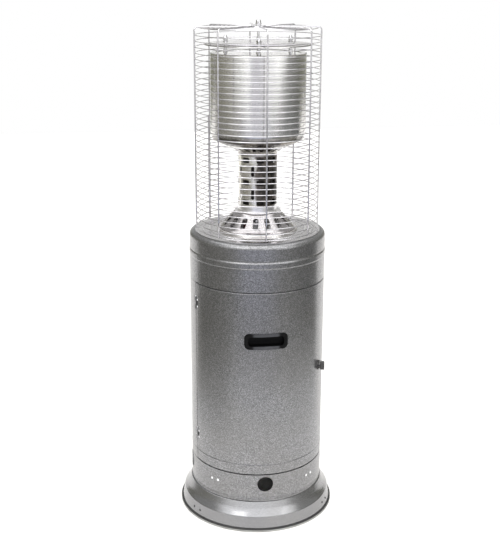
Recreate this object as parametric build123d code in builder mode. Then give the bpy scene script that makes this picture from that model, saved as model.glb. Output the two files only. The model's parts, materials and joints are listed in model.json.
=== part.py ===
from build123d import *

import os
from math import atan, cos, degrees, hypot, radians, sin, sqrt

# Free-standing round gas heater: a flared base, a housing with a door round a gas cylinder,
# and a wire guard round a flame screen, an emitter drum and a reflector.
# Millimetres, +Z up. The origin is on the floor, on the upright axis. The door faces -Y.
# Angles are measured from the front (-Y) towards +X.

os.makedirs("parts", exist_ok=True)

# ---------------------------------------------------------------- driving dimensions
SHEET = 1.2  # painted steel sheet
THIN_SHEET = 1.0  # stainless sheet
SNUG = 0.05  # radial gap between pieces that touch
SHAFT_GAP = 0.05  # running clearance of a shaft in its bore

BODY_R = 186.0  # outside of the round housing
EDGING_R = 219.5  # outside of the rubber edging on the floor
FLARE_TOP = 76.5
BAND_TOP = 157.0
PLATFORM_Z = 156.0  # the gas cylinder stands here
DOOR_BOTTOM = 159.5
DOOR_TOP = 682.5
HOUSING_BOTTOM = 685.0
HOUSING_TOP = 813.6
DECK_Z = 745.0

DOOR_HALF_ANGLE = 71.0
SEAM_HALF_ANGLE = 0.32  # half the gap between door and side panel
FLANGE_DEPTH = 13.0  # edges of door and side panel, folded inwards
BEAD_Z = 186.5

VENT_R = 22.0
VENT_Z = 130.0
VENT_ANGLES = (0, 90, 180, 270)

HINGE_HEIGHTS = (237.0, 626.0)
KNUCKLE_R = 3.0
HINGE_PIN_R = 1.5
HINGE_LENGTH = 36.0

HANDLE_Z = 550.0
LATCH_ANGLE = 60.0
LATCH_Z = 440.0
CONTROL_Z = 715.0
KNOB_ANGLE = 173.0
BUTTON_ANGLE = 192.0

SCREEN_R = 52.0
SCREEN_BOTTOM = 868.0
SCREEN_TOP = 1031.0
DRUM_R = 127.0
DRUM_BOTTOM = 1056.0
DRUM_TOP = 1287.0
REFLECTOR_R = 141.0

GUARD_R = 165.4  # middle of the ring wires
GUARD_WIRE = 2.5  # width of the ring wires
GUARD_ROD_R = 2.0
GUARD_PITCH = 15.0
GUARD_RINGS = 35
GUARD_FIRST_RING = 821.0
GUARD_TOP_Z = 1352.0
GUARD_BEND = 10.0
GUARD_RODS = 8


# ---------------------------------------------------------------- helpers
def around(radius, angle, height=0.0):
    """Point at a radius and an angle from the front."""
    turn = radians(angle)
    return Vector(radius * sin(turn), -radius * cos(turn), height)


def facing(radius, angle, height, lean=0.0):
    """Plane that touches a cylinder or a cone: x runs round it and the normal points outwards."""
    turn = radians(angle)
    flat = cos(radians(lean))
    outwards = (flat * sin(turn), -flat * cos(turn), sin(radians(lean)))
    return Plane(around(radius, angle, height), x_dir=(cos(turn), sin(turn), 0), z_dir=outwards)


def radial_plane(angle):
    """Plane through the upright axis: x is the radius and y the height."""
    turn = radians(angle)
    return Plane((0, 0, 0), x_dir=(sin(turn), -cos(turn), 0), z_dir=(-cos(turn), -sin(turn), 0))


def moved_left(points, distance):
    """A line of points moved to its left, with mitred corners."""
    sides = []
    for (r_from, z_from), (r_to, z_to) in zip(points, points[1:]):
        length = hypot(r_to - r_from, z_to - z_from)
        sides.append((-(z_to - z_from) / length, (r_to - r_from) / length))
    moved = []
    for corner, (r, z) in enumerate(points):
        before = sides[max(corner - 1, 0)]
        after = sides[min(corner, len(sides) - 1)]
        stretch = distance / (1 + before[0] * after[0] + before[1] * after[1])
        moved.append((r + stretch * (before[0] + after[0]), z + stretch * (before[1] + after[1])))
    return moved


def turns_left(before, corner, after):
    """Whether a line turns to its left at a corner."""
    return (corner[0] - before[0]) * (after[1] - corner[1]) > (corner[1] - before[1]) * (after[0] - corner[0])


def spun_sheet(points, bends, thickness=SHEET, start=0.0, sweep=360.0):
    """Pressed sheet: its outer line of (radius, height) points, thickened to the left and spun."""
    inner_bends = []
    for bend, before, corner, after in zip(bends, points, points[1:], points[2:]):
        change = -thickness if turns_left(before, corner, after) else thickness
        inner_bends.append(max(bend + change, 0.1))
    outline = points + moved_left(points, thickness)[::-1]
    radii = [0] + bends + [0, 0] + inner_bends[::-1] + [0]
    with BuildPart() as pressing:
        with BuildSketch(radial_plane(start)):
            with BuildLine():
                FilletPolyline(*outline, radius=radii, close=True)
            make_face()
        revolve(axis=Axis.Z, revolution_arc=sweep)
    return pressing.part


def spun_ring(inner, outer, low, high):
    """Plain ring of rectangular section."""
    with BuildPart() as ring:
        with BuildSketch(Plane.XY.offset(low)):
            Circle(outer)
            Circle(inner, mode=Mode.SUBTRACT)
        extrude(amount=high - low)
    return ring.part


def turned(*steps):
    """Turned piece on its own Z axis, from (radius, from_z, to_z) steps."""
    with BuildPart() as piece:
        for radius, low, high in steps:
            with BuildSketch(Plane.XY.offset(low)):
                Circle(radius)
            extrude(amount=high - low)
    return piece.part


def rivet(head_r, shank_r, grip):
    """Blind rivet: a domed head on +Z, a shank through the sheets and a set tail behind them."""
    dome = 0.45 * head_r
    sphere_r = (head_r**2 + dome**2) / (2 * dome)
    middle = (head_r / 2, dome - sphere_r + sqrt(sphere_r**2 - head_r**2 / 4))
    tail_r = 1.45 * shank_r
    with BuildPart() as fastener:
        with BuildSketch(Plane.XZ):
            with BuildLine():
                ThreePointArc((0, dome), middle, (head_r, 0))
                Polyline(
                    (head_r, 0),
                    (shank_r, 0),
                    (shank_r, -grip),
                    (tail_r, -grip),
                    (tail_r, -grip - 1),
                    (0, -grip - 1),
                    (0, dome),
                )
            make_face()
        revolve(axis=Axis.Z)
    return fastener.part


def pairs(radius, angles, half_angle, height, lean=0.0):
    """Planes of fasteners that stand in pairs side by side on a round wall."""
    return [facing(radius, angle + side * half_angle, height, lean) for angle in angles for side in (-1, 1)]


# ---------------------------------------------------------------- base
SKIRT_LOW = (EDGING_R - 4.4, 11.0)
SKIRT_HIGH = (208.6, 41.0)
SKIRT_SLOPE = (SKIRT_LOW[0] - SKIRT_HIGH[0]) / (SKIRT_HIGH[1] - SKIRT_LOW[1])
NECK_R = BODY_R - SHEET - SNUG
FOOT_ANGLES = (-60, 60, 180)
FOOT_RIVET_Z = 23.5
FOOT_RIVET_SPREAD = 3.75  # half the angle between the two rivets of a foot
FOOT_RIVET_R = 2.2
FOOT_PLATE = 2.5
FOOT_HALF_WIDTH = 6.4  # degrees
FOOT_R = 194.0  # where the rubber feet stand
FOOT_TOP = 12.6
SKIRT_LEAN = degrees(atan(SKIRT_SLOPE))


def skirt_radius(height):
    """Outside of the base's skirt at a height."""
    return SKIRT_LOW[0] - SKIRT_SLOPE * (height - SKIRT_LOW[1])


foot_rivet_planes = pairs(
    skirt_radius(FOOT_RIVET_Z), FOOT_ANGLES, FOOT_RIVET_SPREAD, FOOT_RIVET_Z, SKIRT_LEAN
)

with BuildPart() as base_edging:
    add(spun_ring(EDGING_R - 7.5, EDGING_R, 0, 9))
    fillet(base_edging.edges().filter_by(GeomType.CIRCLE).group_by(Axis.Z)[-1], radius=1.8)
    add(spun_ring(SKIRT_LOW[0] - SHEET - SNUG, SKIRT_LOW[0] + SNUG, 3, 10), mode=Mode.SUBTRACT)
base_edging.part.label = "base_edging"
export_step(base_edging.part, "parts/base_edging.step")

with BuildPart() as base_flare:
    add(
        spun_sheet(
            [
                (SKIRT_LOW[0], 3.1),
                SKIRT_LOW,
                SKIRT_HIGH,
                (198.3, 55.5),
                (188.5, FLARE_TOP),
                (NECK_R, FLARE_TOP),
                (NECK_R, 92),
            ],
            [3, 6, 60, 1.5, 1.5],
        )
    )
    with Locations(*foot_rivet_planes):
        Cylinder(FOOT_RIVET_R + 0.02, 12, mode=Mode.SUBTRACT)
base_flare.part.label = "base_flare"
export_step(base_flare.part, "parts/base_flare.step")

with BuildPart() as foot_brackets:
    leaf_gap = SHEET + 0.15
    leaf_low = skirt_radius(FOOT_TOP) - leaf_gap
    leaf_high = skirt_radius(36) - leaf_gap
    for foot_angle in FOOT_ANGLES:
        with BuildSketch(radial_plane(foot_angle - FOOT_HALF_WIDTH)):
            with BuildLine():
                Polyline(
                    (leaf_low, FOOT_TOP),
                    (leaf_high, 36),
                    (leaf_high - FOOT_PLATE, 36),
                    (leaf_low - FOOT_PLATE - 0.5, FOOT_TOP + FOOT_PLATE),
                    (FOOT_R - 14, FOOT_TOP + FOOT_PLATE),
                    (FOOT_R - 14, FOOT_TOP),
                    close=True,
                )
            make_face()
        revolve(axis=Axis.Z, revolution_arc=2 * FOOT_HALF_WIDTH)
    with Locations(*foot_rivet_planes):
        Cylinder(FOOT_RIVET_R + 0.02, 16, mode=Mode.SUBTRACT)
foot_brackets.part.label = "foot_brackets"
export_step(foot_brackets.part, "parts/foot_brackets.step")

with BuildPart() as rubber_feet:
    with Locations(*[around(FOOT_R, foot_angle) for foot_angle in FOOT_ANGLES]):
        add(turned((11, 0, 3), (9.5, 3, FOOT_TOP)))
rubber_feet.part.label = "rubber_feet"
export_step(rubber_feet.part, "parts/rubber_feet.step")

with BuildPart() as foot_rivets:
    with Locations(*foot_rivet_planes):
        add(rivet(3.4, FOOT_RIVET_R, 3.8))
foot_rivets.part.label = "foot_rivets"
export_step(foot_rivets.part, "parts/foot_rivets.step")

# ---------------------------------------------------------------- lower band and platform
BAND_RIVET_ANGLES = (-135, -46.2, 45, 135)
BAND_RIVET_Z = 125.0
BAND_RIVET_SPREAD = 3.2
BAND_RIVET_R = 2.0
band_rivet_planes = pairs(BODY_R, BAND_RIVET_ANGLES, BAND_RIVET_SPREAD, BAND_RIVET_Z)
vent_planes = [facing(BODY_R + 4, angle, VENT_Z) for angle in VENT_ANGLES]

with BuildPart() as vent_rims:
    for vent_plane in vent_planes:
        with BuildSketch(vent_plane):
            Circle(VENT_R + 2)
            Circle(VENT_R, mode=Mode.SUBTRACT)
        extrude(amount=-12)
    add(spun_ring(BODY_R - SHEET, BODY_R + 0.9, VENT_Z - 40, VENT_Z + 40), mode=Mode.INTERSECT)

with BuildPart() as lower_band:
    add(
        spun_sheet(
            [
                (BODY_R, FLARE_TOP + 1.7),
                (BODY_R, 81),
                (BODY_R + 1, 84.5),
                (BODY_R, 88),
                (BODY_R, BAND_TOP),
            ],
            [1.5, 3, 1.5],
        )
    )
    with Locations(*vent_planes):
        Cylinder(VENT_R + 1, 24, mode=Mode.SUBTRACT)
    add(vent_rims.part)
    with Locations(*band_rivet_planes):
        Cylinder(BAND_RIVET_R + 0.02, 12, mode=Mode.SUBTRACT)
lower_band.part.label = "lower_band"
export_step(lower_band.part, "parts/lower_band.step")

with BuildPart() as cylinder_platform:
    add(
        spun_sheet(
            [
                (NECK_R, 112),
                (NECK_R, PLATFORM_Z),
                (116, PLATFORM_Z),
                (112, PLATFORM_Z + 4),
                (104, PLATFORM_Z + 4),
                (100, PLATFORM_Z),
                (0, PLATFORM_Z),
            ],
            [2, 1.5, 2, 2, 1.5],
        )
    )
    with Locations(*vent_planes):
        Cylinder(VENT_R + 2, 40, mode=Mode.SUBTRACT)
    with Locations(*band_rivet_planes):
        Cylinder(BAND_RIVET_R + 0.02, 12, mode=Mode.SUBTRACT)
cylinder_platform.part.label = "cylinder_platform"
export_step(cylinder_platform.part, "parts/cylinder_platform.step")

with BuildPart() as band_rivets:
    with Locations(*band_rivet_planes):
        add(rivet(3.6, BAND_RIVET_R, BODY_R - NECK_R + SHEET + 0.05))
band_rivets.part.label = "band_rivets"
export_step(band_rivets.part, "parts/band_rivets.step")

# ---------------------------------------------------------------- door, side panel and hinges
HINGE_ANGLE = -DOOR_HALF_ANGLE
HINGE_RIVET_SPREAD = 2.77
HINGE_RIVET_R = 1.5
HINGE_RIVET_DZ = 9.5
KNUCKLE_HALF = 5.8  # half the height of the door's knuckle
LEAF_OUTER = BODY_R - SHEET - 0.1
LEAF_INNER = LEAF_OUTER - 1.5
hinge_planes = [facing(BODY_R, HINGE_ANGLE, height) for height in HINGE_HEIGHTS]
hinge_rivet_heights = [height + side * HINGE_RIVET_DZ for height in HINGE_HEIGHTS for side in (-1, 1)]
latch_plane = facing(BODY_R, LATCH_ANGLE, LATCH_Z)


def hinge_rivet_planes(side):
    """Planes of the hinge rivets: side is 1 on the door and -1 on the side panel."""
    angle = HINGE_ANGLE + side * HINGE_RIVET_SPREAD
    return [facing(BODY_R, angle, height) for height in hinge_rivet_heights]


def housing_wall(low, high, first_angle, last_angle):
    """Curved sheet with a bead near its foot, hems at both ends and edges folded inwards."""
    with BuildPart() as wall:
        add(
            spun_sheet(
                [
                    (BODY_R - FLANGE_DEPTH, low),
                    (BODY_R, low),
                    (BODY_R, BEAD_Z - 3),
                    (BODY_R + 0.8, BEAD_Z),
                    (BODY_R, BEAD_Z + 3),
                    (BODY_R, high),
                    (BODY_R - FLANGE_DEPTH, high),
                ],
                [1.6, 1.5, 3, 1.5, 1.6],
                start=first_angle,
                sweep=last_angle - first_angle,
            )
        )
        for edge_angle, depth in ((first_angle, -SHEET), (last_angle, SHEET)):
            with BuildSketch(radial_plane(edge_angle)):
                with Locations((BODY_R - 0.4 - FLANGE_DEPTH / 2, (low + high) / 2)):
                    Rectangle(FLANGE_DEPTH - 0.8, high - low - 1)
            extrude(amount=depth)
        with Locations(*hinge_planes):
            Box(7.4, HINGE_LENGTH + 3, 32, mode=Mode.SUBTRACT)
    return wall.part


def hinge_leaves(side, knuckles):
    """Leaves behind the sheet with their knuckles round the pin, at both hinges."""
    bore_r = HINGE_PIN_R + (SHAFT_GAP if side == 1 else 0)
    first_angle = HINGE_ANGLE + (1.2 if side == 1 else -5.2)
    with BuildPart() as leaves:
        for hinge_plane in hinge_planes:
            height = hinge_plane.origin.Z
            with BuildSketch(radial_plane(first_angle)):
                with Locations(((LEAF_INNER + LEAF_OUTER) / 2, height)):
                    Rectangle(LEAF_OUTER - LEAF_INNER, HINGE_LENGTH)
            revolve(axis=Axis.Z, revolution_arc=4)
            for low, high in knuckles:
                with BuildSketch(Plane(around(BODY_R, HINGE_ANGLE, height + low), x_dir=hinge_plane.x_dir)):
                    Circle(KNUCKLE_R)
                    with Locations((side * 2.75, -2.1)):
                        Rectangle(5.5, 1.5)
                extrude(amount=high - low)
        with Locations(*hinge_planes):
            Cylinder(bore_r, 60, rotation=(90, 0, 0), mode=Mode.SUBTRACT)
        with Locations(*hinge_rivet_planes(side)):
            Cylinder(HINGE_RIVET_R + 0.02, 16, mode=Mode.SUBTRACT)
    return leaves.part


with BuildPart() as side_panel:
    add(
        housing_wall(
            BAND_TOP + 0.3,
            HOUSING_BOTTOM - 0.3,
            DOOR_HALF_ANGLE + SEAM_HALF_ANGLE,
            360 - DOOR_HALF_ANGLE - SEAM_HALF_ANGLE,
        )
    )
    with Locations(*hinge_rivet_planes(-1)):
        Cylinder(HINGE_RIVET_R + 0.02, 16, mode=Mode.SUBTRACT)
side_panel.part.label = "side_panel"
export_step(side_panel.part, "parts/side_panel.step")

HANDLE_OPENING = (97.0, 27.0)
HANDLE_FLANGE = (117.0, 43.6)
HANDLE_WALL = 1.8
HANDLE_DEPTH = 22.0
CUP_SIZE = (HANDLE_OPENING[0] + 2 * HANDLE_WALL, HANDLE_OPENING[1] + 2 * HANDLE_WALL)
CUP_CORNER = 10.8

with BuildPart() as door:
    add(
        housing_wall(
            DOOR_BOTTOM,
            DOOR_TOP,
            -DOOR_HALF_ANGLE + SEAM_HALF_ANGLE,
            DOOR_HALF_ANGLE - SEAM_HALF_ANGLE,
        )
    )
    with Locations(*hinge_rivet_planes(1)):
        Cylinder(HINGE_RIVET_R + 0.02, 16, mode=Mode.SUBTRACT)
    with BuildSketch(Plane.XZ.offset(BODY_R - 20)):
        with Locations((0, HANDLE_Z)):
            RectangleRounded(CUP_SIZE[0] + 0.6, CUP_SIZE[1] + 0.6, CUP_CORNER)
    extrude(amount=30, mode=Mode.SUBTRACT)
    with Locations(latch_plane):
        Cylinder(8.05, 20, mode=Mode.SUBTRACT)
door.part.label = "door"
export_step(door.part, "parts/door.step")

with BuildPart() as behind_flange:
    with BuildSketch(Plane.XY.offset(HANDLE_Z - 40)):
        Circle(BODY_R + SNUG)
    extrude(amount=80)
    with BuildSketch(Plane.XZ.offset(BODY_R - HANDLE_DEPTH - 2)):
        with Locations((0, HANDLE_Z)):
            RectangleRounded(*CUP_SIZE, CUP_CORNER)
    extrude(amount=40, mode=Mode.SUBTRACT)

with BuildPart() as door_handle:
    with BuildSketch(Plane.XZ.offset(BODY_R - HANDLE_DEPTH)):
        with Locations((0, HANDLE_Z)):
            RectangleRounded(*HANDLE_FLANGE, 13)
    extrude(amount=HANDLE_DEPTH + 10)
    with BuildSketch(Plane.XY.offset(HANDLE_Z - 40)):
        Circle(BODY_R + 2.6)
    extrude(amount=80, mode=Mode.INTERSECT)
    add(behind_flange.part, mode=Mode.SUBTRACT)
    with BuildSketch(Plane.XZ.offset(BODY_R - HANDLE_DEPTH + HANDLE_WALL)):
        with Locations((0, HANDLE_Z)):
            RectangleRounded(*HANDLE_OPENING, 9)
    extrude(amount=HANDLE_DEPTH + 10, mode=Mode.SUBTRACT)
door_handle.part.label = "door_handle"
export_step(door_handle.part, "parts/door_handle.step")

with BuildPart() as hinge_frame_leaves:
    add(hinge_leaves(-1, [(-HINGE_LENGTH / 2, -KNUCKLE_HALF - 0.4), (KNUCKLE_HALF + 0.4, HINGE_LENGTH / 2)]))
hinge_frame_leaves.part.label = "hinge_frame_leaves"
export_step(hinge_frame_leaves.part, "parts/hinge_frame_leaves.step")

with BuildPart() as hinge_door_leaves:
    add(hinge_leaves(1, [(-KNUCKLE_HALF, KNUCKLE_HALF)]))
hinge_door_leaves.part.label = "hinge_door_leaves"
export_step(hinge_door_leaves.part, "parts/hinge_door_leaves.step")

with BuildPart() as hinge_pins:
    half = HINGE_LENGTH / 2
    with Locations(*[plane.origin for plane in hinge_planes]):
        add(
            turned(
                (HINGE_PIN_R, -half - 0.6, half),
                (2.4, half + SNUG, half + 1),
                (HINGE_PIN_R, half, half + 1),
            )
        )
hinge_pins.part.label = "hinge_pins"
export_step(hinge_pins.part, "parts/hinge_pins.step")

for fixed_side, rivet_node in ((-1, "hinge_frame_rivets"), (1, "hinge_door_rivets")):
    with BuildPart() as hinge_rivets:
        with Locations(*hinge_rivet_planes(fixed_side)):
            add(rivet(2.7, HINGE_RIVET_R, BODY_R - LEAF_INNER + 0.05))
    hinge_rivets.part.label = rivet_node
    export_step(hinge_rivets.part, f"parts/{rivet_node}.step")

# ---------------------------------------------------------------- door latch
LATCH_SHAFT_R = 5.0
LATCH_STUB_R = 4.0
CAM_DEPTH = 17.5  # behind the outside of the door, clear of the side panel's folded edge
CAM_THICK = 2.0
CAM_REACH = 45.0

with BuildPart() as latch_rose:
    with Locations(latch_plane):
        add(turned((13.5, SNUG, 3), (8, -13.5, 1)))
        Cylinder(LATCH_SHAFT_R + SHAFT_GAP, 60, mode=Mode.SUBTRACT)
    rose_front = latch_rose.faces().sort_by(Axis((0, 0, 0), latch_plane.z_dir))[-1]
    fillet(rose_front.outer_wire().edges(), radius=1.5)
latch_rose.part.label = "latch_rose"
export_step(latch_rose.part, "parts/latch_rose.step")

with BuildPart() as latch_nut:
    with BuildSketch(latch_plane.offset(-7)):
        RegularPolygon(11, 6)
        Circle(8.02, mode=Mode.SUBTRACT)
    extrude(amount=5.2)
latch_nut.part.label = "latch_nut"
export_step(latch_nut.part, "parts/latch_nut.step")

with BuildPart() as latch_knob:
    with BuildSketch(latch_plane.offset(3.3)):
        Circle(9.5)
    extrude(amount=3.5, taper=12)
    with BuildSketch(latch_plane.offset(6)):
        SlotOverall(27, 8, rotation=90)
    extrude(amount=11, taper=5)
    fillet(latch_knob.faces().sort_by(Axis((0, 0, 0), latch_plane.z_dir))[-1].edges(), radius=1.6)
    with Locations(latch_plane):
        add(turned((LATCH_SHAFT_R, -CAM_DEPTH, 4), (LATCH_STUB_R, -CAM_DEPTH - CAM_THICK - 1, -CAM_DEPTH)))
latch_knob.part.label = "latch_knob"
export_step(latch_knob.part, "parts/latch_knob.step")

with BuildPart() as latch_cam:
    with BuildSketch(latch_plane.offset(-CAM_DEPTH - CAM_THICK)):
        SlotCenterPoint((0, 0), (0, -(CAM_REACH - 8)), 16)
        Circle(LATCH_STUB_R + 0.02, mode=Mode.SUBTRACT)
    extrude(amount=CAM_THICK - SNUG)
latch_cam.part.label = "latch_cam"
export_step(latch_cam.part, "parts/latch_cam.step")

# ---------------------------------------------------------------- upper housing and deck
VALVE_R = 15.0
VALVE_BOSS_R = 9.0
VALVE_BACK = 52.0
KNOB_SHAFT_R = 4.0
BUTTON_R = 6.5
LEAD_R = 1.8
LEAD_HOLE_R = 3.0
PILOT_R = 57.0
ELECTRODE_ANGLE = 210.0
THERMOCOUPLE_ANGLE = 150.0
knob_plane = facing(BODY_R, KNOB_ANGLE, CONTROL_Z)
button_plane = facing(BODY_R, BUTTON_ANGLE, CONTROL_Z)
lead_points = [around(PILOT_R - 3, angle) for angle in (ELECTRODE_ANGLE, THERMOCOUPLE_ANGLE)]

with BuildPart() as housing_ring:
    add(
        spun_sheet(
            [(BODY_R - 20, HOUSING_BOTTOM), (NECK_R, HOUSING_BOTTOM), (NECK_R, 702)],
            [2],
        )
    )
housing_ring.part.label = "housing_ring"
export_step(housing_ring.part, "parts/housing_ring.step")

with BuildPart() as upper_housing:
    add(
        spun_sheet(
            [
                (BODY_R, HOUSING_BOTTOM),
                (BODY_R, 748),
                (BODY_R + 1.1, 751),
                (BODY_R + 1.1, 763),
                (BODY_R - 0.5, 767),
                (BODY_R, 771),
                (BODY_R, HOUSING_TOP),
                (158, HOUSING_TOP),
            ],
            [2, 2, 2, 2, 2, 13],
        )
    )
    with Locations(knob_plane):
        Cylinder(VALVE_BOSS_R + 0.1, 12, mode=Mode.SUBTRACT)
    with Locations(button_plane):
        Cylinder(BUTTON_R + 0.7, 12, mode=Mode.SUBTRACT)
upper_housing.part.label = "upper_housing"
export_step(upper_housing.part, "parts/upper_housing.step")

with BuildPart() as burner_deck:
    add(spun_sheet([(NECK_R, DECK_Z - 12), (NECK_R, DECK_Z), (24, DECK_Z)], [2]))
    with Locations(*lead_points):
        Cylinder(LEAD_HOLE_R, 3 * DECK_Z, mode=Mode.SUBTRACT)
burner_deck.part.label = "burner_deck"
export_step(burner_deck.part, "parts/burner_deck.step")

with BuildPart() as tilt_switch:
    with BuildSketch(Plane.XY.offset(DECK_Z + SNUG)):
        with Locations((60, -105)):
            RectangleRounded(36, 24, 3)
    extrude(amount=20)
    fillet(tilt_switch.faces().sort_by(Axis.Z)[-1].edges(), radius=2)
tilt_switch.part.label = "tilt_switch"
export_step(tilt_switch.part, "parts/tilt_switch.step")

# ---------------------------------------------------------------- controls and gas line
with BuildPart() as control_panel:
    with BuildSketch(Plane.XZ.offset(-BODY_R + 30)):
        with Locations((0, CONTROL_Z)):
            RectangleRounded(136, 50, 12)
    extrude(amount=-60)
    add(spun_ring(BODY_R + SNUG, BODY_R + 2.4, CONTROL_Z - 40, CONTROL_Z + 40), mode=Mode.INTERSECT)
    with Locations(knob_plane):
        Cylinder(VALVE_BOSS_R + 0.1, 12, mode=Mode.SUBTRACT)
    with Locations(button_plane):
        Cylinder(BUTTON_R + SHAFT_GAP, 12, mode=Mode.SUBTRACT)
control_panel.part.label = "control_panel"
export_step(control_panel.part, "parts/control_panel.step")

with BuildPart() as gas_valve:
    with Locations(knob_plane):
        add(turned((VALVE_BOSS_R, -16, 1.5), (VALVE_R, -VALVE_BACK, -14), (7, -VALVE_BACK - 12, -VALVE_BACK)))
        with Locations((0, -12, -34)):
            Cylinder(8, 24, rotation=(90, 0, 0))
    with Locations(knob_plane.offset(-13)):
        Cylinder(KNOB_SHAFT_R + SHAFT_GAP, 32, mode=Mode.SUBTRACT)
gas_valve.part.label = "gas_valve"
export_step(gas_valve.part, "parts/gas_valve.step")

with BuildPart() as valve_shaft:
    with BuildSketch(knob_plane.offset(-28)):
        Circle(KNOB_SHAFT_R)
    extrude(amount=43)
valve_shaft.part.label = "valve_shaft"
export_step(valve_shaft.part, "parts/valve_shaft.step")

with BuildPart() as control_knob:
    with BuildSketch(knob_plane.offset(3.2)):
        Circle(21)
    extrude(amount=12, taper=6)
    with BuildSketch(knob_plane.offset(13)):
        SlotOverall(38, 11, rotation=90)
    extrude(amount=10, taper=4)
    fillet(control_knob.faces().sort_by(Axis((0, 0, 0), knob_plane.z_dir))[-1].edges(), radius=2)
    with BuildSketch(knob_plane):
        Circle(KNOB_SHAFT_R + 0.02)
    extrude(amount=15.05, mode=Mode.SUBTRACT)
control_knob.part.label = "control_knob"
export_step(control_knob.part, "parts/control_knob.step")

with BuildPart() as igniter_button:
    with Locations(button_plane):
        add(turned((8, -11, -9), (BUTTON_R, -9, 9.5)))
    fillet(igniter_button.faces().sort_by(Axis((0, 0, 0), button_plane.z_dir))[-1].edges(), radius=1.5)
igniter_button.part.label = "igniter_button"
export_step(igniter_button.part, "parts/igniter_button.step")

with BuildPart() as piezo_igniter:
    with Locations(button_plane):
        add(turned((11, -60, -1.8)))
    with BuildSketch(button_plane):
        Circle(8.4)
    extrude(amount=-18, mode=Mode.SUBTRACT)
piezo_igniter.part.label = "piezo_igniter"
export_step(piezo_igniter.part, "parts/piezo_igniter.step")

inlet_point = around(BODY_R - 34, KNOB_ANGLE, CONTROL_Z - 24)
HOSE_TAIL_R = 5.0
HOSE_TAIL_LENGTH = 26.0
with BuildPart() as gas_inlet:
    with BuildSketch(Plane.XY.offset(inlet_point.Z - SNUG)):
        with Locations((inlet_point.X, inlet_point.Y)):
            RegularPolygon(9, 6)
    extrude(amount=-9)
    with BuildSketch(Plane.XY.offset(inlet_point.Z - 9)):
        with Locations((inlet_point.X, inlet_point.Y)):
            Circle(HOSE_TAIL_R)
    extrude(amount=-HOSE_TAIL_LENGTH)
gas_inlet.part.label = "gas_inlet"
export_step(gas_inlet.part, "parts/gas_inlet.step")

valve_rear = around(BODY_R - VALVE_BACK - 12 - SNUG, KNOB_ANGLE, CONTROL_Z)
with BuildPart() as feed_pipe:
    with BuildLine() as feed_route:
        FilletPolyline(valve_rear, (0, 0, CONTROL_Z), (0, 0, DECK_Z - 2), radius=18)
    with BuildSketch(Plane(valve_rear, z_dir=feed_route.line % 0)):
        Circle(4)
    sweep()
feed_pipe.part.label = "feed_pipe"
export_step(feed_pipe.part, "parts/feed_pipe.step")

with BuildPart() as gas_jet:
    with BuildSketch(Plane.XY.offset(DECK_Z - 2 + SNUG)):
        RegularPolygon(9, 6)
    extrude(amount=12)
    with BuildSketch(Plane.XY.offset(DECK_Z + 10)):
        Circle(5)
    extrude(amount=10, taper=12)
gas_jet.part.label = "gas_jet"
export_step(gas_jet.part, "parts/gas_jet.step")

# ---------------------------------------------------------------- burner
BURNER_Z = 823.0
BURNER_TOP = 849.0
TOP_PLATE_Z = HOUSING_TOP + 1.3

with BuildPart() as mixing_tube:
    add(turned((36, DECK_Z + SNUG, DECK_Z + 2), (22, DECK_Z + SNUG, BURNER_Z)))
    with BuildSketch(Plane.XY.offset(DECK_Z)):
        Circle(20.5)
    extrude(amount=BURNER_Z - DECK_Z, mode=Mode.SUBTRACT)
    with BuildSketch(Plane.XZ):
        with Locations((0, 763)):
            SlotOverall(24, 12, rotation=90)
    extrude(amount=40, both=True, mode=Mode.SUBTRACT)
    with BuildSketch(Plane.YZ):
        with Locations((0, 763)):
            SlotOverall(24, 12, rotation=90)
    extrude(amount=40, both=True, mode=Mode.SUBTRACT)
mixing_tube.part.label = "mixing_tube"
export_step(mixing_tube.part, "parts/mixing_tube.step")

with BuildPart() as burner_head:
    add(
        spun_sheet(
            [
                (0, BURNER_Z + SNUG),
                (24, BURNER_Z + SNUG),
                (46, BURNER_Z + 12),
                (46, BURNER_TOP),
                (0, BURNER_TOP),
            ],
            [3, 4, 4],
        )
    )
    with BuildSketch(Plane.XY.offset(BURNER_Z - 1)):
        Circle(20.5)
    extrude(amount=4, mode=Mode.SUBTRACT)
    with BuildSketch(Plane.XY.offset(BURNER_Z + 20)):
        with PolarLocations(36, 24):
            Circle(1.6)
        with PolarLocations(26, 16):
            Circle(1.6)
        with PolarLocations(15, 10):
            Circle(1.6)
    extrude(amount=10, mode=Mode.SUBTRACT)
burner_head.part.label = "burner_head"
export_step(burner_head.part, "parts/burner_head.step")

with BuildPart() as top_plate:
    add(
        spun_sheet(
            [
                (170.5, TOP_PLATE_Z),
                (153, TOP_PLATE_Z),
                (150, TOP_PLATE_Z + 1.8),
                (147, TOP_PLATE_Z),
                (134, TOP_PLATE_Z),
                (131, TOP_PLATE_Z + 1.8),
                (128, TOP_PLATE_Z),
                (22.2, TOP_PLATE_Z),
            ],
            [2, 2, 2, 2, 2, 2],
            thickness=THIN_SHEET,
        )
    )
    with Locations(*lead_points):
        Cylinder(LEAD_HOLE_R, 3 * TOP_PLATE_Z, mode=Mode.SUBTRACT)
top_plate.part.label = "top_plate"
export_step(top_plate.part, "parts/top_plate.step")

BELL_SLOTS = 16
BELL_FOOT_Z = TOP_PLATE_Z + 5
BELL_TOP_Z = 867.0
BELL_TOP_R = 60.0

with BuildPart() as bell_flange:
    add(spun_ring(94, 110, TOP_PLATE_Z + SNUG, BELL_FOOT_Z))
    fillet(bell_flange.edges().filter_by(GeomType.CIRCLE).group_by(Axis.Z)[-1], radius=2)
bell_flange.part.label = "bell_flange"
export_step(bell_flange.part, "parts/bell_flange.step")

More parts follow.
